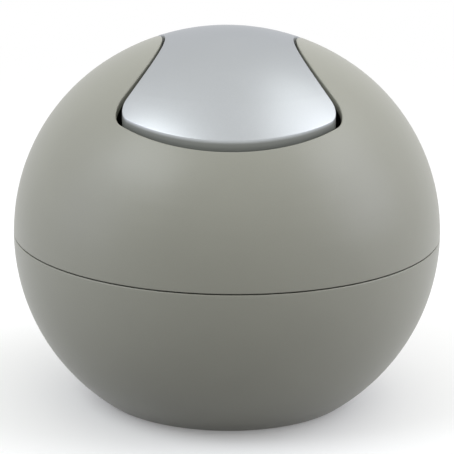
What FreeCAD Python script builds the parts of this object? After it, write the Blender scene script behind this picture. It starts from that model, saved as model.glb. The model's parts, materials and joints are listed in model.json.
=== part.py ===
import FreeCAD, Part
import math
import os

import Sketcher

# Ball-shaped swing-lid bin: a bowl, a lift-off dome and a waisted lid that rocks on two short pins.
# Millimetres, +Z up, origin on the floor under the centre of the bowl, the front of the bin towards -Y.

SIZES = {
    # Ball
    "body_radius": 80.0,
    "dome_rise": 76.8,
    "bowl_drop": 78.0,
    "base_depth": 63.0,
    "wall": 2.4,
    "floor_thickness": 2.4,
    "floor_corner": 6.0,
    "base_edge": 3.0,
    "recess_margin": 2.0,
    "recess_depth": 1.5,
    # Seam and the lip that the dome sits on
    "seam_gap": 0.4,
    "seam_edge": 0.35,
    "lip_height": 5.5,
    "lip_wall": 1.65,
    "dome_lip_wall": 1.25,
    "lip_clearance": 0.3,
    # Feet
    "foot_radius": 5.0,
    "foot_thickness": 2.0,
    "foot_proud": 0.8,
    "foot_inset": 10.3,
    "foot_clearance": 0.1,
    "foot_edge": 0.3,
    # Opening in the dome
    "waist_half": 24.7,
    "side_radius": 50.8,
    "reach": 63.0,
    "end_radius": 49.7,
    "corner_radius": 7.9,
    "opening_edge": 0.4,
    # Lid, and how its outline differs from the opening's
    "lid_gap": 1.05,
    "lid_end_gap": 2.3,
    "lid_side_ease": 5.2,
    "lid_end_ease": 0.6,
    "lid_corner_ease": 1.1,
    "lid_skin": 1.8,
    "lid_skirt": 1.6,
    "lid_depth": 3.7,
    "lid_edge": 0.4,
    "rib_thickness": 1.2,
    "rib_spacing": 12.0,
    "root_depth": 1.2,
    # Pivot
    "swing_limit": 75.0,
    "pin_radius": 1.5,
    "pin_head_radius": 2.2,
    "pin_head_length": 1.5,
    "pin_head_clearance": 0.3,
    "pin_clearance": 0.04,
    "bush_wall": 1.0,
    "flange_radius": 3.6,
    "flange_thickness": 1.0,
    "flange_clearance": 0.13,
    # Lugs under the dome and the stops on them
    "lug_setback": 2.4,
    "lug_thickness": 4.0,
    "lug_half_width": 10.0,
    "lug_drop": 1.5,
    "lug_nose": 4.6,
    "axial_clearance": 0.4,
    "stop_inner": 5.6,
    "stop_outer": 9.0,
    "stop_width": 3.0,
    "stop_overlap": 0.7,
    "stop_rib": 2.4,
    "stop_clearance": 0.3,
    # Bridge under the lid
    "bridge_thickness": 2.0,
    "bridge_half_length": 15.0,
    "bridge_clearance": 1.15,
    "bridge_gap": 0.3,
    "ear_thickness": 4.0,
    "ear_radius": 4.5,
    "ear_boss_radius": 2.8,
    # Screws that hold the bridge
    "screw_across": 13.0,
    "screw_along": 10.5,
    "screw_radius": 0.95,
    "screw_grip": 2.6,
    "screw_end_gap": 0.3,
    "screw_head_radius": 2.0,
    "screw_head_height": 1.4,
    "screw_clearance": 0.1,
    "boss_radius": 2.5,
    # Ballast that brings the lid back level
    "ballast_radius": 4.0,
    "ballast_length": 27.0,
    "ballast_drop": 6.0,
    "ballast_clearance": 0.05,
    "ballast_edge": 0.6,
    "saddle_offset": 7.5,
    "saddle_thickness": 3.0,
    "saddle_wall": 1.8,
    "saddle_mouth": 6.4,
    "saddle_hold": 3.0,
}

# Heights and places that follow from the sizes, as expressions on the sheet
EQUATOR = "(d.base_depth + d.foot_proud)"
CROWN = f"({EQUATOR} + d.dome_rise)"
LUG_INNER = "(d.waist_half + d.lug_setback)"
LUG_OUTER = f"({LUG_INNER} + d.lug_thickness)"
# The pivot is as high as the bush's flange goes under the dome's inner skin, where the lug starts
DOME_ARC = "(d.body_radius ^ 2 / d.dome_rise)"
LUG_CEILING = f"({CROWN} - {DOME_ARC} + sqrt(({DOME_ARC} - d.wall) ^ 2 - {LUG_INNER} ^ 2))"
PIVOT = f"({LUG_CEILING} - d.flange_radius - d.flange_clearance)"
LIP_OUTER = "(d.body_radius - d.dome_lip_wall - d.lip_clearance)"
LIP_INNER = f"({LIP_OUTER} - d.lip_wall)"
# The bridge's plate lies just over the heads of the pins
BRIDGE_UNDER = f"({PIVOT} + d.pin_head_radius + d.pin_head_clearance)"
BRIDGE_TOP = f"({BRIDGE_UNDER} + d.bridge_thickness)"
EAR_OUTER = "(d.waist_half - d.lid_gap - d.lid_skirt - d.bridge_clearance)"
EAR_INNER = f"({EAR_OUTER} - d.ear_thickness)"
FLANGE_FACE = f"({LUG_INNER} - d.flange_thickness)"
BOSS_END = f"({FLANGE_FACE} - d.axial_clearance)"
STOP_FACE = f"({BOSS_END} - d.stop_overlap)"
BUSH_BORE = "(d.pin_radius + d.pin_clearance)"
BUSH_OUTER = f"({BUSH_BORE} + d.bush_wall)"
BALLAST_UP = f"({PIVOT} - d.ballast_drop)"
BALLAST_SPAN = ("-d.ballast_length / 2", "d.ballast_length / 2")
SCREW_HOLE = "(d.screw_radius + d.screw_clearance)"
SCREW_PLACES = [
    (f"{right} * d.screw_across", f"{rear} * d.screw_along") for right in (-1, 1) for rear in (-1, 1)]
# Feet stand on a circle inside the edge of the base, a quarter turn apart and clear of the front
BOWL_ARC = "(d.body_radius ^ 2 / d.bowl_drop)"
BASE_RADIUS = f"sqrt({BOWL_ARC} ^ 2 - (d.base_depth + {BOWL_ARC} - d.bowl_drop) ^ 2)"
FOOT_CIRCLE = f"({BASE_RADIUS} - d.foot_inset)"
FOOT_PLACES = [
    (f"{FOOT_CIRCLE} * cos({angle} deg)", f"{FOOT_CIRCLE} * sin({angle} deg)")
    for angle in (45, 135, 225, 315)]
# Stiffening ribs under each wing of the lid
RIBS = 2
# A cut that has to pass right through a wall starts this far outside it
PAST = 5.0

X_AXIS = FreeCAD.Vector(1, 0, 0)
Y_AXIS = FreeCAD.Vector(0, 1, 0)
Z_AXIS = FreeCAD.Vector(0, 0, 1)
ORIGIN = FreeCAD.Vector(0, 0, 0)
SIDES = (("left", -1), ("right", 1))

doc = FreeCAD.newDocument("ball_bin")
sheet = doc.addObject("Spreadsheet::Sheet", "d")
for row, (alias, value) in enumerate(SIZES.items(), start=1):
    sheet.set(f"A{row}", alias)
    sheet.set(f"B{row}", str(value))
    sheet.setAlias(f"B{row}", alias)
doc.recompute()


def size(alias):
    """Number in the sheet's cell of that name."""
    return float(sheet.get(alias))


def bind(obj, expressions):
    """Tie an object's properties to expressions on the sheet."""
    for path, expression in expressions.items():
        obj.setExpression(path, str(expression))
    return obj


def place(obj, across=0, along=0, up=0):
    """Tie an object's place to expressions on the sheet."""
    return bind(obj, {
        "Placement.Base.x": across,
        "Placement.Base.y": along,
        "Placement.Base.z": up,
    })


def box(name, length, width, height, across, along, up):
    """Box with its low corner at a place."""
    solid = doc.addObject("Part::Box", name)
    bind(solid, {"Length": length, "Width": width, "Height": height})
    return place(solid, across, along, up)


def upright(name, radius, height, across, along, up):
    """Cylinder that stands on a place."""
    solid = doc.addObject("Part::Cylinder", name)
    bind(solid, {"Radius": radius, "Height": height})
    return place(solid, across, along, up)


def low_end(sign, start, end):
    """Lower X of a piece that runs from start to end, outwards on one side of the middle."""
    return start if sign > 0 else f"-({end})"


def block(name, sign, start, end, half_width, low, high, along=0):
    """Box between two distances from the middle, on one side, and between two heights."""
    width = f"2 * ({half_width})"
    front = f"({along}) - ({half_width})"
    return box(name, f"{end} - ({start})", width, f"{high} - ({low})", low_end(sign, start, end), front, low)


def round_bar(name, sign, radius, start, end, up):
    """Cylinder along X between two distances from the middle, on one side."""
    solid = doc.addObject("Part::Cylinder", name)
    solid.Placement = FreeCAD.Placement(ORIGIN, FreeCAD.Rotation(Y_AXIS, 90))
    bind(solid, {"Radius": radius, "Height": f"{end} - ({start})"})
    return place(solid, low_end(sign, start, end), 0, up)


def cut(name, base, tool):
    """Base without the tool."""
    result = doc.addObject("Part::Cut", name)
    result.Base = base
    result.Tool = tool
    return result


def fuse(name, *shapes):
    """All the shapes as one solid."""
    result = doc.addObject("Part::MultiFuse", name)
    result.Shapes = shapes
    return result


def common(name, *shapes):
    """What all the shapes share."""
    result = doc.addObject("Part::MultiCommon", name)
    result.Shapes = shapes
    return result


def fillet(name, base, radius, wanted):
    """Round the edges of a shape that pass a test on their points and their faces."""
    doc.recompute()
    edges = []
    for number, edge in enumerate(base.Shape.Edges, start=1):
        if not edge.Degenerated and wanted(edge.discretize(7), base.Shape.ancestorsOfType(edge, Part.Face)):
            edges.append((number, radius, radius))
    result = doc.addObject("Part::Fillet", name)
    result.Base = base
    result.Edges = edges
    return result


def at_height(height):
    """Test for edges that lie at one height."""
    return lambda points, faces: all(abs(point.z - height) < 0.01 for point in points)


def ball_arcs(rise):
    """Two tangent arcs of the ball's half section: crown radius, crown depth, side centre, side radius."""
    radius = size("body_radius")
    height = size(rise)
    crown_radius = radius ** 2 / height
    depth = crown_radius - height
    excess = radius - height
    side_middle = excess * (2 * depth - excess) / (2 * (depth - excess))
    return crown_radius, depth, side_middle, radius - side_middle


def on_dome(points, faces):
    """Test for edges where an upright wall meets the outer skin of the dome."""
    crown_radius, depth, side_middle, side_radius = ball_arcs("dome_rise")

    def on_skin(point):
        level = math.hypot(point.x, point.y)
        above = point.z - equator
        off_crown = abs(math.hypot(level, above + depth) - crown_radius)
        off_side = abs(math.hypot(level - side_middle, above) - side_radius)
        return min(off_crown, off_side) < 0.01

    walls = [face for face in faces if isinstance(face.Surface, Part.Cylinder)]
    return len(walls) == 1 and all(on_skin(point) for point in points)


def half_ball(name, rise, *insets, below=False):
    """Solid half of the ball, over or below the equator, smaller all round by the named thicknesses."""
    inset = sum(size(alias) for alias in insets)
    crown_radius, depth, side_middle, side_radius = ball_arcs(rise)
    crown_centre = FreeCAD.Vector(0, -depth, 0)
    side_centre = FreeCAD.Vector(side_middle, 0, 0)
    lean = math.atan2(depth, side_middle) if depth > 0 else math.atan2(-depth, -side_middle)
    rim = FreeCAD.Vector(size("body_radius") - inset, 0, 0)
    top = FreeCAD.Vector(0, size(rise) - inset, 0)

    sketch = doc.addObject("Sketcher::SketchObject", name + "_section")
    sketch.Placement = FreeCAD.Placement(ORIGIN, FreeCAD.Rotation(X_AXIS, 90))
    side_circle = Part.Circle(side_centre, Z_AXIS, side_radius - inset)
    crown_circle = Part.Circle(crown_centre, Z_AXIS, crown_radius - inset)
    side = sketch.addGeometry(Part.ArcOfCircle(side_circle, 0, lean))
    crown = sketch.addGeometry(Part.ArcOfCircle(crown_circle, lean, math.pi / 2))
    axis_line = sketch.addGeometry(Part.LineSegment(top, ORIGIN))
    rim_line = sketch.addGeometry(Part.LineSegment(ORIGIN, rim))
    sketch.addConstraint([
        Sketcher.Constraint("Tangent", side, 2, crown, 1),
        Sketcher.Constraint("PointOnObject", side, 3, -1),
        Sketcher.Constraint("PointOnObject", side, 1, -1),
        Sketcher.Constraint("PointOnObject", crown, 3, -2),
        Sketcher.Constraint("PointOnObject", crown, 2, -2),
        Sketcher.Constraint("Coincident", crown, 2, axis_line, 1),
        Sketcher.Constraint("Coincident", axis_line, 2, -1, 1),
        Sketcher.Constraint("Coincident", rim_line, 1, -1, 1),
        Sketcher.Constraint("Coincident", rim_line, 2, side, 1),
    ])
    less = "".join(f" - d.{alias}" for alias in insets)
    driven = (
        (Sketcher.Constraint("DistanceX", rim_line, 1, rim_line, 2, rim.x), "d.body_radius" + less),
        (Sketcher.Constraint("DistanceY", axis_line, 2, axis_line, 1, top.y), f"d.{rise}" + less),
        (Sketcher.Constraint("Radius", crown, crown_radius - inset), f"d.body_radius ^ 2 / d.{rise}" + less),
    )
    for constraint, expression in driven:
        bind(sketch, {f"Constraints[{sketch.addConstraint(constraint)}]": expression})
    solid = doc.addObject("Part::Revolution", name)
    solid.Source = sketch
    solid.Axis = Z_AXIS
    solid.Angle = 360
    solid.Solid = True
    if below:
        solid.Placement = FreeCAD.Placement(ORIGIN, FreeCAD.Rotation(X_AXIS, 180))
    return place(solid, up=EQUATOR)


def changed(alias, sign=0, by=None):
    """Number and sheet expression of a size, or of it with another one added or taken off."""
    if by is None:
        return size(alias), f"d.{alias}"
    return size(alias) + sign * size(by), f"(d.{alias} + {sign} * d.{by})"


def waisted_outline(name, waist, sides, reach, ends, corners):
    """Sketch of an outline with waisted sides, rounded ends and tangent corner arcs."""
    side, side_size = sides
    end, end_size = ends
    corner, corner_size = corners
    side_middle = FreeCAD.Vector(waist[0] + side, 0, 0)
    end_middle = FreeCAD.Vector(0, reach[0] - end, 0)
    # A corner circle touches the side arc from outside it and the end arc from inside it
    to_side = side + corner
    to_end = end - corner
    line = end_middle - side_middle
    step = (to_side ** 2 - to_end ** 2 + line.Length ** 2) / (2 * line.Length)
    outward = line.cross(Z_AXIS).normalize()
    foot = side_middle + line.normalize() * step
    corner_middle = foot + outward * math.sqrt(to_side ** 2 - step ** 2)
    side_joint = side_middle + (corner_middle - side_middle) * (side / to_side)
    end_joint = end_middle + (corner_middle - end_middle) * (end / to_end)

    sketch = doc.addObject("Sketcher::SketchObject", name)

    def mirrored(point, right, rear):
        return FreeCAD.Vector(point.x * right, point.y * rear, 0)

    def add_arc(middle, radius, first, last):
        angles = [math.atan2(point.y - middle.y, point.x - middle.x) for point in (first, last)]
        if angles[1] < angles[0]:
            angles[1] += 2 * math.pi
        return sketch.addGeometry(Part.ArcOfCircle(Part.Circle(middle, Z_AXIS, radius), *angles))

    def add_corner(right, rear):
        ends = [mirrored(side_joint, right, rear), mirrored(end_joint, right, rear)]
        if right * rear < 0:
            ends.reverse()
        return add_arc(mirrored(corner_middle, right, rear), corner, *ends)

    right_side = add_arc(side_middle, side, side_joint, mirrored(side_joint, 1, -1))
    left_side = add_arc(-side_middle, side, mirrored(side_joint, -1, -1), mirrored(side_joint, -1, 1))
    rear_end = add_arc(end_middle, end, end_joint, mirrored(end_joint, -1, 1))
    front_end = add_arc(-end_middle, end, mirrored(end_joint, -1, -1), mirrored(end_joint, 1, -1))
    rear_right = add_corner(1, 1)
    rear_left = add_corner(-1, 1)
    front_left = add_corner(-1, -1)
    front_right = add_corner(1, -1)
    # Each joint: arc, its end (1 first, 2 last), next arc, that arc's end
    joints = (
        (right_side, 1, rear_right, 1), (rear_right, 2, rear_end, 1),
        (rear_end, 2, rear_left, 1), (rear_left, 2, left_side, 2),
        (left_side, 1, front_left, 1), (front_left, 2, front_end, 1),
        (front_end, 2, front_right, 1), (front_right, 2, right_side, 2),
    )
    sketch.addConstraint([Sketcher.Constraint("Tangent", *joint) for joint in joints])
    sketch.addConstraint([
        Sketcher.Constraint("PointOnObject", right_side, 3, -1),
        Sketcher.Constraint("PointOnObject", rear_end, 3, -2),
        Sketcher.Constraint("Symmetric", right_side, 3, left_side, 3, -1, 1),
        Sketcher.Constraint("Symmetric", rear_end, 3, front_end, 3, -1, 1),
        Sketcher.Constraint("Equal", right_side, left_side),
        Sketcher.Constraint("Equal", rear_end, front_end),
        Sketcher.Constraint("Equal", rear_right, rear_left),
        Sketcher.Constraint("Equal", rear_right, front_left),
        Sketcher.Constraint("Equal", rear_right, front_right),
    ])
    driven = (
        (Sketcher.Constraint("Radius", right_side, side), side_size),
        (Sketcher.Constraint("Radius", rear_end, end), end_size),
        (Sketcher.Constraint("Radius", rear_right, corner), corner_size),
        (Sketcher.Constraint("DistanceX", -1, 1, right_side, 3, side_middle.x), f"{waist[1]} + {side_size}"),
        (Sketcher.Constraint("DistanceY", -1, 1, rear_end, 3, end_middle.y), f"{reach[1]} - {end_size}"),
    )
    for constraint, expression in driven:
        bind(sketch, {f"Constraints[{sketch.addConstraint(constraint)}]": expression})
    return sketch


def column(name, outline, inset=None):
    """Upright prism on an outline, or on that outline drawn in by an inset."""
    base = outline
    if inset:
        base = doc.addObject("Part::Offset2D", name + "_outline")
        base.Source = outline
        base.Join = "Arc"
        bind(base, {"Value": f"-({inset})"})
    prism = doc.addObject("Part::Extrusion", name)
    prism.Base = base
    prism.DirMode = "Custom"
    prism.Dir = Z_AXIS
    prism.Solid = True
    return bind(prism, {"LengthFwd": f"{CROWN} + {PAST}"})


def turned(name, solid, angle):
    """A solid drawn about the X axis, swung by an angle and set on the pivot."""
    holder = doc.addObject("Part::Compound", name)
    holder.Links = [solid]
    holder.Placement = FreeCAD.Placement(ORIGIN, FreeCAD.Rotation(X_AXIS, 1))
    bind(holder, {"Placement.Rotation.Angle": angle})
    return place(holder, up=PIVOT)


def make_bowl():
    """Lower half: flat base with a recess and foot pockets, and a lip at the rim."""
    ball = half_ball("bowl_ball", "bowl_drop", below=True)
    height = "d.base_depth - d.seam_gap / 2"
    span = upright("bowl_span", f"d.body_radius + {PAST}", height, 0, 0, "d.foot_proud")
    blank = common("bowl_blank", ball, span)
    rounded = fillet("bowl_base_edge", blank, size("base_edge"), at_height(size("foot_proud")))
    rim = equator - size("seam_gap") / 2
    rounded = fillet("bowl_seam_edge", rounded, size("seam_edge"), at_height(rim))
    lip = upright("bowl_lip", LIP_OUTER, "d.wall + d.lip_height", 0, 0, f"{EQUATOR} - d.wall")

    floor_up = "d.foot_proud + d.recess_depth + d.floor_thickness"
    hollow = half_ball("bowl_hollow", "bowl_drop", "wall", below=True)
    over_rim = upright("bowl_over_rim", "d.body_radius", f"d.lip_height + {PAST}", 0, 0, EQUATOR)
    shaft_height = f"{EQUATOR} + d.lip_height + {PAST} - ({floor_up})"
    shaft = upright("bowl_shaft", LIP_INNER, shaft_height, 0, 0, floor_up)
    cavity = common("bowl_cavity", fuse("bowl_inside", hollow, over_rim), shaft)
    floor_height = size("foot_proud") + size("recess_depth") + size("floor_thickness")
    cavity = fillet("bowl_floor_corner", cavity, size("floor_corner"), at_height(floor_height))

    recess_radius = f"{FOOT_CIRCLE} - d.foot_radius - d.recess_margin"
    recess = upright("bowl_recess", recess_radius, "d.recess_depth", 0, 0, "d.foot_proud")
    pocket_radius = "d.foot_radius + d.foot_clearance"
    pocket_depth = "d.foot_thickness - d.foot_proud"
    pockets = [
        upright(f"foot_pocket_{number}", pocket_radius, pocket_depth, across, along, "d.foot_proud")
        for number, (across, along) in enumerate(FOOT_PLACES, start=1)
    ]
    under = fuse("bowl_under", recess, *pockets)
    return cut("bowl", cut("bowl_hollowed", fuse("bowl_solid", rounded, lip), cavity), under)


def make_foot(number, across, along):
    """Soft foot that stands in its pocket and carries the bin."""
    disc = upright(f"foot_disc_{number}", "d.foot_radius", "d.foot_thickness", across, along, 0)
    return fillet(f"foot_{number}", disc, size("foot_edge"), at_height(0))


def make_lug(side, sign, roots):
    """Bearing lug under one cheek of the dome, with the two stops of the swing on it."""
    plate = block(
        f"lug_plate_{side}", sign, LUG_INNER, LUG_OUTER, "d.lug_half_width", f"{PIVOT} - d.lug_drop", CROWN)
    nose = round_bar(f"lug_nose_{side}", sign, "d.lug_nose", LUG_INNER, LUG_OUTER, PIVOT)
    stops = []
    for end, turn in (("front", -1), ("rear", 1)):
        along = f"{turn} * (d.stop_width / 2 + d.stop_clearance + d.stop_rib / 2)"
        rib = block(
            f"stop_bar_{end}_{side}", sign, STOP_FACE, LUG_OUTER, "d.stop_rib / 2",
            "-d.stop_outer", "-d.stop_inner", along)
        stops.append(turned(f"stop_{end}_{side}", rib, f"{turn} * d.swing_limit"))
    return common(f"lug_{side}", fuse(f"lug_raw_{side}", plate, nose, *stops), roots)


def make_dome():
    """Upper half: rebate at the rim, waisted opening with a soft edge, and two bearing lugs."""
    ball = half_ball("dome_ball", "dome_rise")
    span = upright("dome_span", f"d.body_radius + {PAST}", "d.dome_rise", 0, 0, f"{EQUATOR} + d.seam_gap / 2")
    blank = common("dome_blank", ball, span)
    rim = equator + size("seam_gap") / 2
    rounded = fillet("dome_seam_edge", blank, size("seam_edge"), at_height(rim))
    outline = waisted_outline(
        "opening_outline", changed("waist_half"), changed("side_radius"), changed("reach"),
        changed("end_radius"), changed("corner_radius"))
    opened = cut("dome_opened", rounded, column("opening", outline))
    softened = fillet("dome_opening_edge", opened, size("opening_edge"), on_dome)
    hollow = half_ball("dome_hollow", "dome_rise", "wall")
    rebate = upright("dome_rebate", "d.body_radius - d.dome_lip_wall", "d.lip_height", 0, 0, EQUATOR)
    shell = cut("dome_shell", softened, fuse("dome_inside", hollow, rebate))
    roots = half_ball("dome_roots", "dome_rise", "root_depth")
    lugs = [make_lug(side, sign, roots) for side, sign in SIDES]
    bores = [
        round_bar(f"bush_bore_{side}", sign, BUSH_OUTER, LUG_INNER, LUG_OUTER, PIVOT) for side, sign in SIDES]
    return cut("dome", fuse("dome_with_lugs", shell, *lugs), fuse("bush_bores", *bores))


def make_bush(side, sign):
    """Flanged bearing bush in one lug."""
    sleeve = round_bar(f"bush_sleeve_{side}", sign, BUSH_OUTER, FLANGE_FACE, LUG_OUTER, PIVOT)
    flange = round_bar(f"bush_flange_{side}", sign, "d.flange_radius", FLANGE_FACE, LUG_INNER, PIVOT)
    bore = round_bar(f"bush_hole_{side}", sign, BUSH_BORE, FLANGE_FACE, LUG_OUTER, PIVOT)
    return cut(f"pivot_bush_{side}", fuse(f"bush_solid_{side}", sleeve, flange), bore)


def make_pin(side, sign):
    """Headed pivot pin, tight in the bridge's ear and free in the bush."""
    head = round_bar(
        f"pin_head_{side}", sign, "d.pin_head_radius", f"{EAR_INNER} - d.pin_head_length", EAR_INNER, PIVOT)
    shank = round_bar(f"pin_shank_{side}", sign, "d.pin_radius", EAR_INNER, LUG_OUTER, PIVOT)
    return fuse(f"pivot_pin_{side}", head, shank)


def make_lid():
    """Waisted lid: a thin skin flush with the ball, a skirt round it, ribs and four screw bosses."""
    outline = waisted_outline(
        "lid_outline", changed("waist_half", -1, "lid_gap"), changed("side_radius", 1, "lid_side_ease"),
        changed("reach", -1, "lid_end_gap"), changed("end_radius", -1, "lid_end_ease"),
        changed("corner_radius", -1, "lid_corner_ease"))
    ball = half_ball("lid_ball", "dome_rise")
    under = half_ball("lid_underside", "dome_rise", "lid_depth")
    blank = cut("lid_blank", common("lid_cap", ball, column("lid_column", outline)), under)
    rounded = fillet("lid_top_edge", blank, size("lid_edge"), on_dome)

    skin_under = half_ball("lid_skin_underside", "dome_rise", "lid_skin")
    inside = common("lid_inside", skin_under, column("lid_inner_column", outline, "d.lid_skirt"))
    slabs = []
    for end, turn in (("front", -1), ("rear", 1)):
        for number in range(1, RIBS + 1):
            along = f"{turn} * (d.bridge_half_length + {number} * d.rib_spacing)"
            slabs.append(block(
                f"lid_rib_{end}_{number}", 1, "-d.body_radius", "d.body_radius", "d.rib_thickness / 2",
                EQUATOR, CROWN, along))
    hollowed = cut("lid_hollowed", rounded, cut("lid_pockets", inside, fuse("lid_ribs", *slabs)))

    roots = half_ball("lid_roots", "dome_rise", "root_depth")
    posts = []
    holes = []
    for number, (across, along) in enumerate(SCREW_PLACES, start=1):
        spot = (across, along, BRIDGE_TOP)
        depth = "d.screw_grip + d.screw_end_gap"
        posts.append(upright(f"lid_post_{number}", "d.boss_radius", f"{CROWN} - {BRIDGE_TOP}", *spot))
        holes.append(upright(f"lid_hole_{number}", SCREW_HOLE, depth, *spot))
    bosses = common("lid_bosses", fuse("lid_posts", *posts), roots)
    return cut("lid_shell", fuse("lid_with_bosses", hollowed, bosses), fuse("lid_holes", *holes))


def make_bridge():
    """Bridge under the lid's waist: plate, two ears with stop tabs, and two saddles for the ballast."""
    plate = block(
        "bridge_plate", 1, f"-{EAR_OUTER}", EAR_OUTER, "d.bridge_half_length", BRIDGE_UNDER, BRIDGE_TOP)
    solids = [plate]
    holes = []
    for side, sign in SIDES:
        solids += [
            block(f"ear_{side}", sign, EAR_INNER, EAR_OUTER, "d.ear_radius", PIVOT, BRIDGE_TOP),
            round_bar(f"ear_end_{side}", sign, "d.ear_radius", EAR_INNER, EAR_OUTER, PIVOT),
            round_bar(f"ear_boss_{side}", sign, "d.ear_boss_radius", EAR_INNER, BOSS_END, PIVOT),
            block(f"tab_web_{side}", sign, EAR_INNER, EAR_OUTER, "d.stop_width / 2",
                  f"{PIVOT} - d.stop_outer", PIVOT),
            block(f"tab_{side}", sign, EAR_INNER, BOSS_END, "d.stop_width / 2",
                  f"{PIVOT} - d.stop_outer", f"{PIVOT} - d.stop_inner"),
            block(f"saddle_{side}", sign, "d.saddle_offset - d.saddle_thickness / 2",
                  "d.saddle_offset + d.saddle_thickness / 2", "d.ballast_radius + d.saddle_wall",
                  f"{BALLAST_UP} - d.saddle_hold", BRIDGE_TOP),
        ]
        holes.append(round_bar(f"ear_hole_{side}", sign, "d.pin_radius", EAR_INNER, BOSS_END, PIVOT))
    seat_radius = "d.ballast_radius + d.ballast_clearance"
    holes.append(round_bar("ballast_seat", 1, seat_radius, *BALLAST_SPAN, BALLAST_UP))
    holes.append(block(
        "saddle_mouths", 1, *BALLAST_SPAN, "d.saddle_mouth / 2", f"{BALLAST_UP} - d.saddle_hold", BALLAST_UP))
    for number, (across, along) in enumerate(SCREW_PLACES, start=1):
        holes.append(upright(
            f"bridge_hole_{number}", SCREW_HOLE, "d.bridge_thickness", across, along, BRIDGE_UNDER))
    limit = half_ball("bridge_limit", "dome_rise", "lid_skin", "bridge_gap")
    solid = common("bridge_solid", fuse("bridge_raw", *solids), limit)
    return cut("hinge_bridge", solid, fuse("bridge_holes", *holes))


def make_ballast():
    """Round steel bar in the bridge's saddles, under the pivot."""
    bar = round_bar("ballast_round", 1, "d.ballast_radius", *BALLAST_SPAN, BALLAST_UP)
    half = size("ballast_length") / 2

    def at_an_end(points, faces):
        return all(abs(abs(point.x) - half) < 0.01 for point in points)

    return fillet("ballast_bar", bar, size("ballast_edge"), at_an_end)


def make_screws():
    """The four equal screws that hold the bridge to the lid's bosses."""
    screws = []
    for number, (across, along) in enumerate(SCREW_PLACES, start=1):
        head_low = f"{BRIDGE_UNDER} - d.screw_head_height"
        length = "d.bridge_thickness + d.screw_grip"
        head = upright(
            f"screw_head_{number}", "d.screw_head_radius", "d.screw_head_height", across, along, head_low)
        shank = upright(f"screw_shank_{number}", "d.screw_radius", length, across, along, BRIDGE_UNDER)
        screws.append(fuse(f"screw_{number}", head, shank))
    group = doc.addObject("Part::Compound", "bridge_screws")
    group.Links = screws
    return group


def build():
    """Every sub-part of the bin, by the name of its file."""
    parts = {"bowl": make_bowl(), "dome": make_dome(), "lid_shell": make_lid()}
    for number, (across, along) in enumerate(FOOT_PLACES, start=1):
        parts[f"foot_{number}"] = make_foot(number, across, along)
    for side, sign in SIDES:
        parts[f"pivot_bush_{side}"] = make_bush(side, sign)
        parts[f"pivot_pin_{side}"] = make_pin(side, sign)
    parts["hinge_bridge"] = make_bridge()
    parts["ballast_bar"] = make_ballast()
    parts["bridge_screws"] = make_screws()
    return parts


def check(parts):
    """Stop if any object of the document failed or any sub-part is empty or invalid."""
    doc.recompute()
    for item in doc.Objects:
        if "Invalid" in item.State or "Error" in item.State:
            raise RuntimeError(f"{item.Name} failed: {item.State}")
    for label, item in parts.items():
        if item.Shape.isNull() or not item.Shape.isValid() or not item.Shape.Solids:
            raise RuntimeError(f"{label} has no valid solid")


def write(parts):
    """One STEP file for each sub-part."""
    os.makedirs("parts", exist_ok=True)
    for label, item in parts.items():
        item.Label = label
        item.Shape.exportStep(f"parts/{label}.step")


equator = size("base_depth") + size("foot_proud")
sub_parts = build()
check(sub_parts)
write(sub_parts)
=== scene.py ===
import json
import math

import bmesh
import bpy
from mathutils import Euler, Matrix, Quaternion, Vector


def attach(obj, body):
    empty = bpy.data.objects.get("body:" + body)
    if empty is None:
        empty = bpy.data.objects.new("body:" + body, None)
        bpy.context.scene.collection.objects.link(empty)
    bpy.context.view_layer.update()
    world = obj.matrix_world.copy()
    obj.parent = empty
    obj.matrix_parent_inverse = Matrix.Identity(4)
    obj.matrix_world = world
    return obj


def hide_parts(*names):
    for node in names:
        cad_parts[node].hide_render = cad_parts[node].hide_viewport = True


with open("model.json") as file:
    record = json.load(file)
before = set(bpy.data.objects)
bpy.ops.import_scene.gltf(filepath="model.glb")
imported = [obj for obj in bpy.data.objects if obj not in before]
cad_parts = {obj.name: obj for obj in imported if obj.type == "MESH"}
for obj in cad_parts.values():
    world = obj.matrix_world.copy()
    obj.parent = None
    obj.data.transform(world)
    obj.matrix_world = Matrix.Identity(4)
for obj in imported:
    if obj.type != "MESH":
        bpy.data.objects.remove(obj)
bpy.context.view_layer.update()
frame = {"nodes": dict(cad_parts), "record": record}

# Sizes of the bin in millimetres, and one angle in degrees
# A size that the part's source also names has the same value there
BODY_RADIUS = 80.0
DOME_RISE = 76.8
BOWL_DROP = 78.0
BASE_DEPTH = 63.0
WALL = 2.4
FLOOR = 2.4
FLOOR_CORNER = 6.0
BASE_EDGE = 3.0
RECESS_DEPTH = 1.5
RECESS_MARGIN = 2.0
SEAM_GAP = 0.4
SEAM_EDGE = 0.35
LIP_HEIGHT = 5.5
LIP_OUTER = 78.45
LIP_INNER = 76.8
LIP_EDGE = 0.4
GATE_RADIUS = 1.6
GATE_TAPER = 0.3
GATE_HEIGHT = 0.5
FOOT_RADIUS = 5.0
FOOT_THICKNESS = 2.0
FOOT_PROUD = 0.8
FOOT_EDGE = 0.3
FOOT_INSET = 10.3
PIN_RADIUS = 1.5
PIN_HEAD_RADIUS = 2.2
PIN_HEAD_LENGTH = 1.5
PIN_HEAD_CLEARANCE = 0.3
PIN_EDGE = 0.25
PIN_START = 15.4
PIN_END = 31.1
BUSH_BORE = 1.54
BUSH_OUTER = 2.54
BUSH_START = 26.1
FLANGE_RADIUS = 3.6
FLANGE_THICKNESS = 1.0
BALLAST_RADIUS = 4.0
BALLAST_LENGTH = 27.0
BALLAST_EDGE = 0.6
BALLAST_DROP = 6.0
SCREW_ACROSS = 13.0
SCREW_ALONG = 10.5
SCREW_RADIUS = 0.95
SCREW_LENGTH = 4.6
SCREW_TIP = 0.8
SCREW_HEAD_RADIUS = 2.0
SCREW_HEAD_HEIGHT = 1.4
SCREW_HEAD_EDGE = 0.6
SLOT_WIDTH = 0.55
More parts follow.
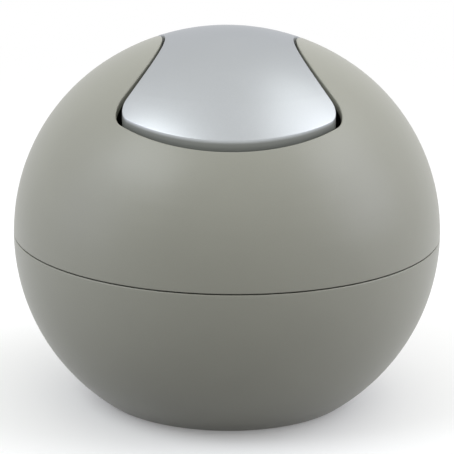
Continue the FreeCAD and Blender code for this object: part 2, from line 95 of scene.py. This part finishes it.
SLOT_LENGTH = 2.3
SLOT_DEPTH = 0.7
WELD = 0.001
SHARP_ANGLE = 32.0
EQUATOR = BASE_DEPTH + FOOT_PROUD
PIVOT = frame["record"]["behaviour"]["joints"][1]["pos_m"][2] * 1000.0
SCREW_HEAD_LOW = PIVOT + PIN_HEAD_RADIUS + PIN_HEAD_CLEARANCE - SCREW_HEAD_HEIGHT
MM = 0.001

scene = bpy.context.scene


class Wire:
    """An output of a node, so that sums on it read as plain Python."""

    def __init__(self, board, socket):
        self.board = board
        self.socket = socket

    def also(self, name):
        """Another output of the same node."""
        return Wire(self.board, self.socket.node.outputs[name])

    def math(self, operation, *values):
        """A Math node on some values."""
        return self.board.node("ShaderNodeMath", {"operation": operation}, dict(enumerate(values)))

    def __add__(self, other):
        return self.math("ADD", self, other)

    def __radd__(self, other):
        return self.math("ADD", other, self)

    def __sub__(self, other):
        return self.math("SUBTRACT", self, other)

    def __rsub__(self, other):
        return self.math("SUBTRACT", other, self)

    def __mul__(self, other):
        return self.math("MULTIPLY", self, other)

    def __rmul__(self, other):
        return self.math("MULTIPLY", other, self)

    def __truediv__(self, other):
        return self.math("DIVIDE", self, other)

    def __mod__(self, other):
        return self.math("MODULO", self, other)


class Board:
    """A node tree with one way to add a node."""

    def __init__(self, tree):
        self.tree = tree

    def node(self, kind, settings=None, sockets=None, output=0):
        """Add a node, set it, fill or link its sockets, and give one of its outputs."""
        made = self.tree.nodes.new(kind)
        for key, value in (settings or {}).items():
            setattr(made, key, value)
        for key, value in (sockets or {}).items():
            self.feed(made.inputs[key], value)
        return Wire(self, made.outputs[output])

    def feed(self, socket, value):
        """Link a wire to a socket, or write a value in it."""
        if isinstance(value, Wire):
            self.tree.links.new(value.socket, socket)
        else:
            socket.default_value = value


# Finishes; their lengths are in millimetres

PLASTIC_CLOUDS = 34.0
PORE_TO_GRAIN = 1.6
# Painted shade and dust: a near-black colour laid into the seam groove between bowl and dome, for the joint's
# shade as well as dust
SHADE_DUST_NEAR = 0.3
SHADE_DUST_FAR = 0.7
SHADE_DUST_SHALLOW = 0.2
SHADE_DUST_DEEP = 0.7
SHADE_DUST_COLOUR = (0.02, 0.02, 0.018)
LACQUER_FULL = 0.3
LACQUER_THIN = 1.2
LACQUER_CLOUDS = 22.0
SILVER_DARK = (0.436, 0.455, 0.466)
SILVER_LIGHT = (0.486, 0.505, 0.516)
BARE_LID = (0.26, 0.27, 0.25)
FLAKE_SIZE = 0.22
PEEL_SIZE = 1.4
PEEL_DEPTH = 0.004
RING_SIZE = 0.12
RING_DRAW = 0.06
RING_DEPTH = 0.006
ZINC_PATCHES = 3.0
ZINC_GREY = (0.50, 0.50, 0.50)
ZINC_YELLOW = (0.66, 0.65, 0.62)
SPECKLE_SIZE = 0.3
SPECKLE_DEPTH = 0.02
WORN_PATCHES = 4.0
RUBBER_BLACK = (0.012, 0.012, 0.012)
RUBBER_WORN = (0.05, 0.05, 0.048)


def finish(name, constants):
    """A new material: the material, its board and its shader, with what is the same all over set on it."""
    material = bpy.data.materials.new(name)
    material.use_nodes = True
    shader = material.node_tree.nodes["Principled BSDF"]
    for key, value in constants.items():
        shader.inputs[key].default_value = value
    return material, Board(material.node_tree), shader


def noise(board, place, size, detail=2.0, roughness=0.5):
    """Soft noise whose features are about a size in millimetres."""
    sockets = {"Vector": place, "Scale": 1 / (size * MM), "Detail": detail, "Roughness": roughness}
    return board.node("ShaderNodeTexNoise", {}, sockets, "Fac")


def blend(board, share, first, second):
    """Colour between two colours, each written as red, green and blue or taken from a node."""
    first, second = (colour if isinstance(colour, Wire) else (*colour, 1) for colour in (first, second))
    return board.node("ShaderNodeMix", {"data_type": "RGBA"}, {"Factor": share, 6: first, 7: second}, 2)


def bump(board, height, depth):
    """Surface relief of a depth in millimetres."""
    return board.node("ShaderNodeBump", {}, {"Height": height, "Distance": depth * MM, "Strength": 1.0}, 0)


def ease(board, value, start, end, low=0.0, high=1.0):
    """A smooth step from low to high while a value goes from start to end."""
    return board.node("ShaderNodeMapRange", {"interpolation_type": "SMOOTHSTEP"}, {
        "Value": value, "From Min": start, "From Max": end, "To Min": low, "To Max": high}, "Result")


def seam_shade_and_dust(board, place):
    """How much painted shade and dust darken a place, from 0 to 1: all of it lies in the groove between the
    two halves.
    """
    spot = board.node("ShaderNodeSeparateXYZ", {}, {"Vector": place}, "X")
    up = spot.also("Z")
    off_seam = up.math("ABSOLUTE", up - EQUATOR * MM)
    out = spot.math("SQRT", spot * spot + spot.also("Y") * spot.also("Y"))
    near = ease(board, off_seam, SHADE_DUST_NEAR * MM, SHADE_DUST_FAR * MM, 1.0, 0.0)
    inside = ease(board, BODY_RADIUS * MM - out, SHADE_DUST_SHALLOW * MM, SHADE_DUST_DEEP * MM)
    return near * inside


def moulded_plastic(name, dark, light, roughness, grain_size, grain_depth, shade_dust_share=0.0):
    """Matte moulded plastic: clouded tone, fine eroded grain, uneven sheen, and painted shade with dust in
    the seam.
    """
    material, board, shader = finish(name, {"IOR": 1.49, "Specular IOR Level": 0.48})
    place = board.node("ShaderNodeTexCoord", {}, {}, "Object")
    clouds = noise(board, place, PLASTIC_CLOUDS, 3.0)
    grain = noise(board, place, grain_size, 3.0, 0.6)
    pores = board.node(
        "ShaderNodeTexVoronoi", {}, {"Vector": place, "Scale": 1 / (grain_size * PORE_TO_GRAIN * MM)})
    tone = 0.5 + 0.9 * (clouds - 0.5) + 0.5 * (grain - 0.5)
    colour = blend(board, tone, dark, light)
    if shade_dust_share:
        # Painted shade: the seam groove is darkened towards near black, for the joint's shade as well as dust
        colour = blend(board, shade_dust_share * seam_shade_and_dust(board, place), colour, SHADE_DUST_COLOUR)
    board.feed(shader.inputs["Base Color"], colour)
    board.feed(shader.inputs["Roughness"], roughness + 0.1 * (clouds - 0.5) + 0.12 * (grain - 0.5))
    board.feed(shader.inputs["Normal"], bump(board, 0.7 * grain + 0.3 * pores, grain_depth))
    return material


def silver_lacquer():
    """Satin metallic lacquer: fine flakes under a clear coat, sprayed from above and thin on the skirt."""
    material, board, shader = finish("lid_lacquer", {
        "Specular Tint": (0.74, 0.75, 0.79, 1), "Coat Roughness": 0.25, "Coat IOR": 1.5})
    place = board.node("ShaderNodeTexCoord", {}, {}, "Object")
    crown_radius = BODY_RADIUS ** 2 / DOME_RISE
    middle = (0.0, 0.0, (EQUATOR + DOME_RISE - crown_radius) * MM)
    out = board.node("ShaderNodeVectorMath", {"operation": "DISTANCE"}, {0: place, 1: middle}, "Value")
    thin = ease(board, crown_radius * MM - out, LACQUER_FULL * MM, LACQUER_THIN * MM)
    flakes = board.node(
        "ShaderNodeTexVoronoi", {}, {"Vector": place, "Scale": 1 / (FLAKE_SIZE * MM)}, "Color")
    glint = board.node("ShaderNodeSeparateColor", {}, {"Color": flakes}, "Red")
    clouds = noise(board, place, LACQUER_CLOUDS, 3.0)
    tone = 0.5 + 0.5 * (clouds - 0.5) + 0.5 * (glint - 0.5)
    silver = blend(board, tone, SILVER_DARK, SILVER_LIGHT)
    board.feed(shader.inputs["Base Color"], blend(board, thin, silver, BARE_LID))
    board.feed(shader.inputs["Metallic"], 0.92 - 0.62 * thin)
    sheen = 0.06 * (clouds - 0.5) + 0.08 * (glint - 0.5)
    board.feed(shader.inputs["Roughness"], 0.4 + 0.06 * thin + sheen)
    board.feed(shader.inputs["Coat Weight"], (0.14 + 0.08 * (clouds - 0.5)) * (1 - thin))
    peel = noise(board, place, PEEL_SIZE)
    board.feed(shader.inputs["Normal"], bump(board, 0.75 * peel + 0.25 * glint, PEEL_DEPTH))
    return material


def turned_steel():
    """Zinc-plated steel: fine rings along the axis and faint yellowish patches."""
    material, board, shader = finish("pin_steel", {"Metallic": 1.0})
    place = board.node("ShaderNodeTexCoord", {}, {}, "Object")
    along = board.node(
        "ShaderNodeMapping", {}, {"Vector": place, "Scale": (1.0, RING_DRAW, RING_DRAW)}, "Vector")
    rings = noise(board, along, RING_SIZE)
    patches = noise(board, place, ZINC_PATCHES, 3.0)
    board.feed(shader.inputs["Base Color"], blend(board, patches, ZINC_GREY, ZINC_YELLOW))
    board.feed(shader.inputs["Roughness"], 0.24 + 0.2 * rings + 0.1 * (patches - 0.5))
    board.feed(shader.inputs["Normal"], bump(board, rings, RING_DEPTH))
    return material


def soft_rubber():
    """Black rubber: dull, with a fine speckle and worn patches underneath."""
    material, board, shader = finish("foot_rubber", {"Specular IOR Level": 0.3})
    place = board.node("ShaderNodeTexCoord", {}, {}, "Object")
    speckle = noise(board, place, SPECKLE_SIZE, 3.0, 0.7)
    wear = noise(board, place, WORN_PATCHES, 3.0)
    tone = 0.6 * wear + 0.4 * speckle
    board.feed(shader.inputs["Base Color"], blend(board, tone, RUBBER_BLACK, RUBBER_WORN))
    board.feed(shader.inputs["Roughness"], 0.72 + 0.2 * (wear - 0.5))
    board.feed(shader.inputs["Normal"], bump(board, speckle, SPECKLE_DEPTH))
    return material


finishes = {
    # The body plastic carries painted shade and dust in its seam groove
    "body_plastic": moulded_plastic(
        "body_plastic", dark=(0.272, 0.271, 0.229), light=(0.316, 0.315, 0.268),
        roughness=0.36, grain_size=0.45, grain_depth=0.012, shade_dust_share=0.8),
    "bridge_plastic": moulded_plastic(
        "bridge_plastic", dark=(0.012, 0.012, 0.013), light=(0.024, 0.024, 0.025),
        roughness=0.45, grain_size=0.4, grain_depth=0.02),
    "bush_plastic": moulded_plastic(
        "bush_plastic", dark=(0.60, 0.59, 0.55), light=(0.70, 0.69, 0.65),
        roughness=0.35, grain_size=0.5, grain_depth=0.006),
    "lid_lacquer": silver_lacquer(),
    "pin_steel": turned_steel(),
    "foot_rubber": soft_rubber(),
}


# Sections of the turned pieces, as points (distance from the axis, height) in millimetres

# Where the rings of the bowl's flat floor lie, as shares of its radius
FLOOR_RINGS = (0.66, 0.33, 0.0)


def arc(middle, radius, first, last, steps):
    """Points on an arc between two angles in degrees, 0 outwards and 90 up."""
    points = []
    for step in range(steps + 1):
        angle = math.radians(first + (last - first) * step / steps)
        points.append((middle[0] + radius * math.cos(angle), middle[1] + radius * math.sin(angle)))
    return points


def bowl_arcs():
    """The skin's two tangent arcs: crown radius, height of its centre, side centre and side radius."""
    crown_radius = BODY_RADIUS ** 2 / BOWL_DROP
    rise = crown_radius - BOWL_DROP
    excess = BODY_RADIUS - BOWL_DROP
    side_middle = excess * (2 * rise - excess) / (2 * (rise - excess))
    return crown_radius, EQUATOR + rise, side_middle, BODY_RADIUS - side_middle


def on_bowl(height, inset):
    """Distance from the axis, and angle of the skin's normal below level, at a height of the inset skin."""
    crown_radius, crown_up, side_middle, side_radius = bowl_arcs()
    joint = math.degrees(math.atan2(crown_up - EQUATOR, side_middle))
    below = math.degrees(math.asin((EQUATOR - height) / (side_radius - inset)))
    if below < joint:
        return side_middle + (side_radius - inset) * math.cos(math.radians(below)), below
    below = math.degrees(math.asin((crown_up - height) / (crown_radius - inset)))
    return (crown_radius - inset) * math.cos(math.radians(below)), below


def bowl_skin(inset, first, last, steps):
    """Points of the inset skin between two angles of its normal below level."""
    crown_radius, crown_up, side_middle, side_radius = bowl_arcs()
    joint = math.degrees(math.atan2(crown_up - EQUATOR, side_middle))
    points = []
    for step in range(steps + 1):
        below = first + (last - first) * step / steps
        on_side = below < joint
        middle = (side_middle, EQUATOR) if on_side else (0.0, crown_up)
        radius = (side_radius if on_side else crown_radius) - inset
        points.append(arc(middle, radius, -below, -below, steps=1)[0])
    return points


def foot_circle():
    """Radius of the circle that the feet stand on."""
    crown_radius, crown_up, _, _ = bowl_arcs()
    return math.sqrt(crown_radius ** 2 - (crown_up - FOOT_PROUD) ** 2) - FOOT_INSET


def bowl_section():
    """From the middle of the base, out round the skin, over the lip and in to the middle of the floor."""
    base = FOOT_PROUD
    recess_up = base + RECESS_DEPTH
    recess_radius = foot_circle() - FOOT_RADIUS - RECESS_MARGIN
    floor_up = recess_up + FLOOR
    rim = EQUATOR - SEAM_GAP / 2

    # Gate mark, recess and base
    points = [(0.0, recess_up - GATE_HEIGHT), (GATE_RADIUS - GATE_TAPER, recess_up - GATE_HEIGHT)]
    points += [(GATE_RADIUS, recess_up), (recess_radius, recess_up), (recess_radius, base)]
    # Rounded edge of the base, then the skin up to the rounded edge at the seam
    edge_out, edge_below = on_bowl(base + BASE_EDGE, BASE_EDGE)
    points += arc((edge_out, base + BASE_EDGE), BASE_EDGE, -90, -edge_below, steps=8)
    seam_out, seam_below = on_bowl(rim - SEAM_EDGE, SEAM_EDGE)
    points += bowl_skin(0.0, edge_below, seam_below, steps=72)[1:]
    points += arc((seam_out, rim - SEAM_EDGE), SEAM_EDGE, -seam_below, 90, steps=6)[1:]
    # Lip
    lip_top = EQUATOR + LIP_HEIGHT
    points += [(LIP_OUTER, rim)]
    points += arc((LIP_OUTER - LIP_EDGE, lip_top - LIP_EDGE), LIP_EDGE, 0, 90, steps=4)
    points += arc((LIP_INNER + LIP_EDGE, lip_top - LIP_EDGE), LIP_EDGE, 90, 180, steps=4)
    # Inside: straight down to the inner skin, then round to the floor
    _, _, side_middle, side_radius = bowl_arcs()
    inner_start = math.degrees(math.acos((LIP_INNER - side_middle) / (side_radius - WALL)))
    corner_out, corner_below = on_bowl(floor_up + FLOOR_CORNER, WALL + FLOOR_CORNER)
    points += bowl_skin(WALL, inner_start, corner_below, steps=48)
    points += arc((corner_out, floor_up + FLOOR_CORNER), FLOOR_CORNER, -corner_below, -90, steps=8)[1:]
    points += [(corner_out * share, floor_up) for share in FLOOR_RINGS]
    return points


def foot_section():
    """Disc with a small rounding at the bottom."""
    return [(0.0, 0.0), *arc((FOOT_RADIUS - FOOT_EDGE, FOOT_EDGE), FOOT_EDGE, -90, 0, steps=5),
            (FOOT_RADIUS, FOOT_THICKNESS), (0.0, FOOT_THICKNESS)]


def pin_section():
    """Headed pin, from the outside of its head to its tip."""
    length = PIN_END - PIN_START
    return [(0.0, 0.0), *arc((PIN_HEAD_RADIUS - PIN_EDGE, PIN_EDGE), PIN_EDGE, -90, 0, steps=4),
            (PIN_HEAD_RADIUS, PIN_HEAD_LENGTH), (PIN_RADIUS, PIN_HEAD_LENGTH),
            *arc((PIN_RADIUS - PIN_EDGE, length - PIN_EDGE), PIN_EDGE, 0, 90, steps=4), (0.0, length)]


def bush_section():
    """Flanged sleeve, as a closed ring."""
    length = PIN_END - BUSH_START
    return [(BUSH_BORE, 0.0), (FLANGE_RADIUS, 0.0), (FLANGE_RADIUS, FLANGE_THICKNESS),
            (BUSH_OUTER, FLANGE_THICKNESS), (BUSH_OUTER, length), (BUSH_BORE, length), (BUSH_BORE, 0.0)]


def ballast_section():
    """Round bar with rounded ends."""
    inner = BALLAST_RADIUS - BALLAST_EDGE
    return [(0.0, 0.0), *arc((inner, BALLAST_EDGE), BALLAST_EDGE, -90, 0, steps=5),
            *arc((inner, BALLAST_LENGTH - BALLAST_EDGE), BALLAST_EDGE, 0, 90, steps=5), (0.0, BALLAST_LENGTH)]


def screw_section():
    """Pan head and plain shank, from the top of the head to the tip."""
    length = SCREW_HEAD_HEIGHT + SCREW_LENGTH
    inner = SCREW_HEAD_RADIUS - SCREW_HEAD_EDGE
    return [(0.0, 0.0), *arc((inner, SCREW_HEAD_EDGE), SCREW_HEAD_EDGE, -90, 0, steps=6),
            (SCREW_HEAD_RADIUS, SCREW_HEAD_HEIGHT), (SCREW_RADIUS, SCREW_HEAD_HEIGHT),
            (SCREW_RADIUS, length - SCREW_TIP), (0.0, length)]


# One tree turns a section about its axis and sets the result on a list of places


def turned_tree():
    """Geometry Nodes tree: section to lathe, an optional cross slot, then one copy on each place."""
    tree = bpy.data.node_groups.new("turned_on_places", "GeometryNodeTree")
    tree.is_modifier = True
    wanted = (
        ("Geometry", "NodeSocketGeometry"), ("Section", "NodeSocketObject"), ("Turns", "NodeSocketInt"),
        ("Slotted", "NodeSocketBool"), ("Slot length", "NodeSocketFloat"),
        ("Slot width", "NodeSocketFloat"), ("Slot depth", "NodeSocketFloat"),
        ("Finish", "NodeSocketMaterial"))
    for name, kind in wanted:
        tree.interface.new_socket(name, in_out="INPUT", socket_type=kind)
    tree.interface.new_socket("Geometry", in_out="OUTPUT", socket_type="NodeSocketGeometry")
    board = Board(tree)
    places = board.node("NodeGroupInput", {}, {}, "Geometry")
    turns = places.also("Turns")

    # Lathe: a grid with the section along one side and the turn along the other
    section = board.node("GeometryNodeObjectInfo", {}, {"Object": places.also("Section")}, "Geometry")
    count = board.node("GeometryNodeAttributeDomainSize", {}, {"Geometry": section}, "Point Count")
    ring = turns + 1
    grid = board.node("GeometryNodeMeshGrid", {}, {"Vertices X": count, "Vertices Y": ring}, "Mesh")
    index = board.node("GeometryNodeInputIndex")
    row = index.math("FLOOR", (index + 0.5) / ring)
    angle = index % ring / turns * math.tau
    spot = board.node("GeometryNodeSampleIndex", {"data_type": "FLOAT_VECTOR"}, {
        "Geometry": section, "Value": board.node("GeometryNodeInputPosition"), "Index": row})
    out = board.node("ShaderNodeSeparateXYZ", {}, {"Vector": spot}, "X")
    turned = board.node("ShaderNodeCombineXYZ", {}, {
        "X": out * angle.math("COSINE", angle), "Y": out * angle.math("SINE", angle), "Z": out.also("Z")})
    skin = board.node("GeometryNodeSetPosition", {}, {"Geometry": grid, "Position": turned})
    closed = board.node("GeometryNodeMergeByDistance", {}, {"Geometry": skin, "Distance": WELD * MM})

    # Cross slot in the end that lies at height 0
    bars = []
    for first, second in (("Slot length", "Slot width"), ("Slot width", "Slot length")):
        size = board.node("ShaderNodeCombineXYZ", {}, {
            "X": places.also(first), "Y": places.also(second), "Z": 2 * places.also("Slot depth")})
        bars.append(board.node("GeometryNodeMeshCube", {}, {"Size": size}, "Mesh"))
    slotted = closed
    for bar in bars:
        slotted = board.node(
            "GeometryNodeMeshBoolean", {"operation": "DIFFERENCE", "solver": "EXACT"},
            {"Mesh 1": slotted, "Mesh 2": bar}, "Mesh")
    piece = board.node("GeometryNodeSwitch", {"input_type": "GEOMETRY"}, {
        "Switch": places.also("Slotted"), "False": closed, "True": slotted})

    # One copy on each place, turned the way that the place faces
    facing = board.node(
        "GeometryNodeInputNamedAttribute", {"data_type": "FLOAT_VECTOR"}, {"Name": "facing"}, "Attribute")
    rotation = board.node("FunctionNodeEulerToRotation", {}, {"Euler": facing})
    copies = board.node("GeometryNodeInstanceOnPoints", {}, {
        "Points": places, "Instance": piece, "Rotation": rotation})
    real = board.node("GeometryNodeRealizeInstances", {}, {"Geometry": copies})
    done = board.node("GeometryNodeSetMaterial", {}, {"Geometry": real, "Material": places.also("Finish")})
    end = tree.nodes.new("NodeGroupOutput")
    board.feed(end.inputs["Geometry"], done)
    return tree


def point_object(name, points):
    """Object whose mesh is only points, given in metres."""
    mesh = bpy.data.meshes.new(name)
    mesh.from_pydata(points, [], [])
    made = bpy.data.objects.new(name, mesh)
    scene.collection.objects.link(made)
    return made


def turned_piece(name, section, places, slot, body, stands_for, turns=96, slotted=False):
    """Turn a section, set it on places (point in millimetres, facing), and let it stand for CAD nodes."""
    line = point_object(name + "_section", [(out * MM, 0.0, up * MM) for out, up in section])
    piece = point_object(name, [Vector(point) * MM for point, _ in places])
    facing = piece.data.attributes.new("facing", "FLOAT_VECTOR", "POINT")
    for entry, (_, turn) in zip(facing.data, places):
        entry.vector = turn
    modifier = piece.modifiers.new("turned", "NODES")
    modifier.node_group = lathe
    values = {
        "Section": line, "Turns": turns, "Slotted": slotted, "Slot length": SLOT_LENGTH * MM,
        "Slot width": SLOT_WIDTH * MM, "Slot depth": SLOT_DEPTH * MM, "Finish": finishes[slot]}
    for item in lathe.interface.items_tree:
        if item.in_out == "INPUT" and item.name in values:
            modifier[item.identifier] = values[item.name]
    depsgraph = bpy.context.evaluated_depsgraph_get()
    mesh = bpy.data.meshes.new_from_object(piece.evaluated_get(depsgraph))
    piece.modifiers.clear()
    piece.data = mesh
    bpy.data.objects.remove(line)
    shape = bmesh.new()
    shape.from_mesh(mesh)
    bmesh.ops.recalc_face_normals(shape, faces=shape.faces)
    shape.to_mesh(mesh)
    shape.free()
    mesh.shade_smooth()
    mesh.set_sharp_from_angle(angle=math.radians(SHARP_ANGLE))
    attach(piece, body)
    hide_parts(*stands_for)


lathe = turned_tree()
UP = (0.0, 0.0, 0.0)
RIGHT = tuple(Euler((0, math.pi / 2, 0)))
LEFT = tuple(Euler((0, -math.pi / 2, 0)))
SIDES = (("left", -1, LEFT), ("right", 1, RIGHT))

turned_piece(
    "bowl_shell", bowl_section(), [((0, 0, 0), UP)], "body_plastic", "bowl", ["bowl"], turns=256)
foot_places = []
for quarter in range(4):
    turn = math.radians(45 + 90 * quarter)
    foot_places.append(((foot_circle() * math.cos(turn), foot_circle() * math.sin(turn), 0), UP))
turned_piece(
    "soft_feet", foot_section(), foot_places, "foot_rubber", "bowl", [f"foot_{n}" for n in (1, 2, 3, 4)])
turned_piece(
    "pivot_pins", pin_section(), [((sign * PIN_START, 0, PIVOT), turn) for _, sign, turn in SIDES],
    "pin_steel", "lid", [f"pivot_pin_{side}" for side, _, _ in SIDES], turns=64)
turned_piece(
    "pivot_bushes", bush_section(), [((sign * BUSH_START, 0, PIVOT), turn) for _, sign, turn in SIDES],
    "bush_plastic", "dome", [f"pivot_bush_{side}" for side, _, _ in SIDES], turns=64)
turned_piece(
    "ballast_rod", ballast_section(), [((-BALLAST_LENGTH / 2, 0, PIVOT - BALLAST_DROP), RIGHT)],
    "pin_steel", "lid", ["ballast_bar"])
screw_places = [
    ((right * SCREW_ACROSS, rear * SCREW_ALONG, SCREW_HEAD_LOW), UP)
    for right in (-1, 1) for rear in (-1, 1)]
turned_piece(
    "cross_screws", screw_section(), screw_places, "pin_steel", "lid", ["bridge_screws"],
    turns=48, slotted=True)

# The shells and the bridge keep the CAD's own shape
for node, slot in (
        ("dome", "body_plastic"), ("lid_shell", "lid_lacquer"), ("hinge_bridge", "bridge_plastic")):
    frame["nodes"][node].data.materials.clear()
    frame["nodes"][node].data.materials.append(finishes[slot])


# Studio: pale floor, white surround, soft lamps and the camera; lengths in metres, the lens's in millimetres

FLOOR_HALF = 3.0
FLOOR_GREY = (0.28, 0.28, 0.28)
FLOOR_PALE = (0.95, 0.95, 0.95)
FADE_START = 0.05
FADE_END = 0.6
FADE_LEAST = 0.2
SKY = {
    "even": 0.27, "ceiling": 0.77, "walls": 0.255, "right": 0.18, "rear": 0.2,
    "warm": (1.0, 0.995, 0.93), "cool": (0.965, 0.97, 1.0), "cooling": 1.4}
# Name, place, width, height, watts and colour of each lamp
LAMPS = (
    ("softbox_left", (-0.68, -0.37, 0.85), 0.74, 0.5, 4.5, (0.93, 0.97, 1.0)),
    ("softbox_right", (0.62, 0.05, 0.91), 0.9, 0.75, 2.1, (0.96, 0.985, 1.0)),
    ("side_box_left", (-1.1, -0.2, 0.42), 0.8, 1.0, 2.2, (0.77, 0.79, 1.0)),
    ("side_box_right", (1.05, -0.15, 0.6), 0.8, 1.0, 5.3, (0.87, 0.886, 1.0)))
LAMP_AIM = Vector((0, 0, 0.07))
SENSOR_WIDTH = 36.0
LENS_LENGTH = 210.6
CLIP_START = 0.05
CAMERA_TURN = math.radians(-0.3)
CAMERA_ELEVATION = math.radians(16.52)
CAMERA_TIP = 0.00098
CAMERA_ROLL = math.radians(0.72)


def shown_rays(board):
    """1 for a ray that sees or mirrors the studio, 0 for one that lights the bin."""
    path = board.node("ShaderNodeLightPath", {}, {}, "Is Camera Ray")
    return path.math("MINIMUM", path + path.also("Is Glossy Ray") + path.also("Is Transmission Ray"), 1.0)


def pale_floor():
    """Wide pale floor that keeps the bin's soft shadow and goes over to plain white away from it."""
    signs = ((-1, -1), (1, -1), (1, 1), (-1, 1))
    corners = [(FLOOR_HALF * right, FLOOR_HALF * rear, 0) for right, rear in signs]
    mesh = bpy.data.meshes.new("studio_floor")
    mesh.from_pydata(corners, [], [(0, 1, 2, 3)])
    floor = bpy.data.objects.new("studio_floor", mesh)
    scene.collection.objects.link(floor)
    material, board, shader = finish("studio_floor", {"Roughness": 0.9, "Specular IOR Level": 0.0})
    shown = shown_rays(board)
    board.feed(shader.inputs["Base Color"], blend(board, shown, FLOOR_GREY, FLOOR_PALE))
    place = board.node("ShaderNodeTexCoord", {}, {}, "Object")
    away = board.node("ShaderNodeVectorMath", {"operation": "LENGTH"}, {0: place}, "Value")
    fade = ease(board, away, FADE_START, FADE_END, FADE_LEAST)
    white = board.node("ShaderNodeEmission", {}, {"Strength": 1.0})
    plain = Wire(board, shader.outputs[0])
    mixed = board.node("ShaderNodeMixShader", {}, {0: fade * shown, 1: plain, 2: white})
    board.feed(material.node_tree.nodes["Material Output"].inputs["Surface"], mixed)
    mesh.materials.append(material)


def white_surround():
    """Soft light from a white ceiling and side walls, plain white where it is seen or mirrored."""
    world = bpy.data.worlds.new("studio")
    scene.world = world
    world.use_nodes = True
    board = Board(world.node_tree)
    shown = shown_rays(board)
    towards = board.node("ShaderNodeTexCoord", {}, {}, "Generated")
    across = board.node("ShaderNodeSeparateXYZ", {}, {"Vector": towards}, "X")
    sides = across * across
    level = SKY["even"] + SKY["ceiling"] * across.also("Z") + SKY["walls"] * sides
    level = level + SKY["right"] * across + SKY["rear"] * across.also("Y")
    lit = blend(board, sides * SKY["cooling"], SKY["warm"], SKY["cool"])
    background = world.node_tree.nodes["Background"]
    board.feed(background.inputs["Color"], blend(board, shown, lit, (1, 1, 1)))
    board.feed(background.inputs["Strength"], level + (1.0 - level) * shown)


def softbox(name, place, width, height, watts, colour):
    """Soft area lamp that looks at the middle of the bin."""
    lamp = bpy.data.lights.new(name, "AREA")
    lamp.shape = "RECTANGLE"
    lamp.size = width
    lamp.size_y = height
    lamp.energy = watts
    lamp.color = colour
    holder = bpy.data.objects.new(name, lamp)
    holder.location = place
    holder.rotation_mode = "QUATERNION"
    holder.rotation_quaternion = (LAMP_AIM - Vector(place)).to_track_quat("-Z", "Y")
    scene.collection.objects.link(holder)


def photo_camera():
    """Camera at the photograph's angle: a long lens a metre away, a little above the bin."""
    lens = bpy.data.cameras.new("photo_camera")
    lens.sensor_width = SENSOR_WIDTH
    lens.lens = LENS_LENGTH
    lens.clip_start = CLIP_START
    camera = bpy.data.objects.new("photo_camera", lens)
    scene.collection.objects.link(camera)
    level = math.cos(CAMERA_ELEVATION)
    back = Vector((
        math.sin(CAMERA_TURN) * level, -math.cos(CAMERA_TURN) * level, math.sin(CAMERA_ELEVATION)))
    camera.location = Vector((0, 0, EQUATOR * MM)) + back
    camera.rotation_mode = "QUATERNION"
    tip = Quaternion((1, 0, 0), CAMERA_TIP)
    roll = Quaternion((0, 0, 1), CAMERA_ROLL)
    camera.rotation_quaternion = (-back).to_track_quat("-Z", "Y") @ tip @ roll
    scene.camera = camera


pale_floor()
white_surround()
for lamp in LAMPS:
    softbox(*lamp)
photo_camera()
scene.view_settings.view_transform = "Standard"
